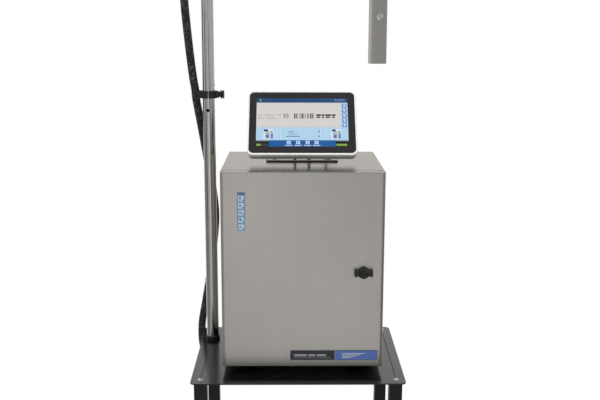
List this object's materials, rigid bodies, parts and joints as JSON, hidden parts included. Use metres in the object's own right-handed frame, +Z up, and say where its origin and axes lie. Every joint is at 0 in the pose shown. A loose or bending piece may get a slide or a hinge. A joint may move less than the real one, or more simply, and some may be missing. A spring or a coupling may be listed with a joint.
{
  "type": "date code inkjet printer",
  "caption": "Continuous inkjet date coder: stainless cabinet with tilting touch display on a floor stand, print head on an adjustable mast and arm, hose umbilical.",
  "frame": {"origin": "on the floor, under the middle of the stand plate", "axes": "+Z up, -Y towards the operator (door side), +X to the operator's right"},
  "size_m": [0.5822, 0.4743, 1.805],
  "materials": {
    "stainless": "brushed, satin",
    "polished_tube": "ground and polished",
    "head_steel": "fine brushed",
    "plate_black": "glossy dark powder coat",
    "frame_black": "fine textured powder coat",
    "bright_steel": "bright zinc or nickel",
    "black_plastic": "moulded, fine grain",
    "gloss_black": "gloss moulded",
    "black_rubber": "soft matt",
    "clamp_grey": "bead blasted",
    "clamp_black": "black die casting",
    "hose_braid": "braided sleeve, black with grey flecks",
    "label_blue": "printed film",
    "plate_print": "printed film",
    "rim_white": "satin moulded",
    "shell_grey": "fine grain",
    "screen_glass": "glossy cover glass over a dark bezel",
    "inner_steel": "plain sheet",
    "board_green": "solder mask",
    "natural_plastic": "translucent-looking bottle plastic",
    "cap_blue": "moulded",
    "valve_metal": "machined",
    "switch_red": "moulded"
  },
  "bodies": {
    "root": {"stand_plate": "plate_black", "stand_legs": "frame_black", "stand_rails": "frame_black", "plate_bolts": "bright_steel", "mast_socket": "black_plastic", "mast_tube": "polished_tube", "mast_cap": "black_plastic", "hose_clamp": "black_plastic", "umbilical_lower": "hose_braid", "umbilical_gland": "bright_steel", "cabinet_shell": "stainless", "back_panel": "stainless", "cabinet_feet": "black_rubber", "door_hinges": "bright_steel", "partition_plate": "inner_steel", "mainboard": "board_green", "power_supply": "inner_steel", "fan_frame": "black_plastic", "ink_tank": "natural_plastic", "solvent_tank": "natural_plastic", "ink_pump": "valve_metal", "valve_block": "valve_metal", "power_inlet": "black_plastic", "display_bracket": "stainless", "bracket_gasket": "black_rubber"},
    "foot_fl": {"levelling_foot_fl": "frame_black"},
    "foot_fr": {"levelling_foot_fr": "frame_black"},
    "foot_bl": {"levelling_foot_bl": "frame_black"},
    "foot_br": {"levelling_foot_br": "frame_black"},
    "hose_knob": {"hose_clamp_knob": "black_plastic"},
    "carriage": {"stop_collar": "clamp_black"},
    "swivel": {"cross_clamp": "clamp_black", "umbilical_upper": "hose_braid"},
    "mast_knob": {"mast_clamp_knob": "black_plastic"},
    "arm_knob": {"arm_clamp_knob": "black_plastic"},
    "arm": {"arm_tube": "polished_tube", "arm_plugs": "black_plastic"},
    "head": {"head_clamp": "clamp_grey", "head_body": "head_steel", "head_gland": "bright_steel", "nozzle_block": "bright_steel", "charge_electrode": "black_plastic", "deflector_plates": "bright_steel", "ink_gutter": "bright_steel"},
    "head_knob": {"head_clamp_knob": "black_plastic"},
    "cover": {"head_cover": "head_steel"},
    "cover_thumbscrew": {"cover_screw": "bright_steel"},
    "door": {"door_panel": "stainless", "door_gasket": "black_rubber", "nameplate": "plate_print", "icon_label": "label_blue"},
    "latch": {"latch_knob": "gloss_black", "latch_cam": "bright_steel"},
    "fan": {"fan_rotor": "black_plastic"},
    "ink_lid": {"ink_cap": "black_plastic"},
    "solvent_lid": {"solvent_cap": "cap_blue"},
    "switch": {"rocker_switch": "switch_red"},
    "display": {"display_rear_shell": "shell_grey", "display_rim": "rim_white", "display_glass": "screen_glass"}
  },
  "joints": [
    {"name": "foot_fl_screw", "type": "slide", "parent": "root", "child": "foot_fl", "axis": [0, 0, -1], "range_m": [0, 0.02]},
    {"name": "foot_fr_screw", "type": "slide", "parent": "root", "child": "foot_fr", "axis": [0, 0, -1], "range_m": [0, 0.02]},
    {"name": "foot_bl_screw", "type": "slide", "parent": "root", "child": "foot_bl", "axis": [0, 0, -1], "range_m": [0, 0.02]},
    {"name": "foot_br_screw", "type": "slide", "parent": "root", "child": "foot_br", "axis": [0, 0, -1], "range_m": [0, 0.02]},
    {"name": "hose_knob_turn", "type": "hinge", "parent": "root", "child": "hose_knob", "pos_m": [-0.217, 0.102, 1.347], "axis": [1, 0, 0], "range_deg": [-180, 0]},
    {"name": "arm_height", "type": "slide", "parent": "root", "child": "carriage", "axis": [0, 0, 1], "range_m": [-0.1, 0.015], "deforming": ["umbilical_upper"]},
    {"name": "arm_swing", "type": "hinge", "parent": "carriage", "child": "swivel", "pos_m": [-0.217, 0.102, 1.64], "axis": [0, 0, 1], "range_deg": [-35, 35], "deforming": ["umbilical_upper"]},
    {"name": "mast_knob_turn", "type": "hinge", "parent": "swivel", "child": "mast_knob", "pos_m": [-0.21395, 0.07719, 1.64], "axis": [0.1219, -0.9925, 0], "range_deg": [-180, 0]},
    {"name": "arm_knob_turn", "type": "hinge", "parent": "swivel", "child": "arm_knob", "pos_m": [-0.2209, 0.13376, 1.67], "axis": [0, 0, 1], "range_deg": [0, 180]},
    {"name": "arm_reach", "type": "slide", "parent": "swivel", "child": "arm", "axis": [0.9925, 0.1219, 0], "range_m": [-0.06, 0.06], "deforming": ["umbilical_upper"]},
    {"name": "head_turn", "type": "hinge", "parent": "arm", "child": "head", "pos_m": [0.192, 0.18446, 1.64], "axis": [0.9925, 0.1219, 0], "range_deg": [-45, 45], "deforming": ["umbilical_upper"]},
    {"name": "head_knob_turn", "type": "hinge", "parent": "head", "child": "head_knob", "pos_m": [0.18895, 0.20927, 1.64], "axis": [-0.1219, 0.9925, 0], "range_deg": [-180, 0]},
    {"name": "cover_slide", "type": "slide", "parent": "head", "child": "cover", "axis": [0, 0, -1], "range_m": [0, 0.125]},
    {"name": "cover_screw_turn", "type": "hinge", "parent": "head", "child": "cover_thumbscrew", "pos_m": [0.19956, 0.12292, 1.533], "axis": [0.1219, -0.9925, 0], "range_deg": [0, 270]},
    {"name": "door_swing", "type": "hinge", "parent": "root", "child": "door", "pos_m": [-0.166, -0.124, 0.966], "axis": [0, 0, -1], "range_deg": [0, 95]},
    {"name": "latch_turn", "type": "hinge", "parent": "door", "child": "latch", "pos_m": [0.148, -0.133, 0.964], "axis": [0, 1, 0], "range_deg": [0, 90]},
    {"name": "fan_spin", "type": "hinge", "parent": "root", "child": "fan", "pos_m": [0.12, 0.172, 1.078], "axis": [0, -1, 0], "continuous": true},
    {"name": "ink_cap_turn", "type": "hinge", "parent": "root", "child": "ink_lid", "pos_m": [-0.083, -0.028, 0.9], "axis": [0, 0, 1], "range_deg": [0, 270]},
    {"name": "solvent_cap_turn", "type": "hinge", "parent": "root", "child": "solvent_lid", "pos_m": [0.097, -0.028, 0.9], "axis": [0, 0, 1], "range_deg": [0, 270]},
    {"name": "switch_rock", "type": "hinge", "parent": "root", "child": "switch", "pos_m": [0.084, 0.185, 0.798], "axis": [1, 0, 0], "range_deg": [-8, 8]},
    {"name": "display_tilt", "type": "hinge", "parent": "root", "child": "display", "pos_m": [0.01, 0.049, 1.26], "axis": [1, 0, 0], "range_deg": [-25, 5]}
  ]
}
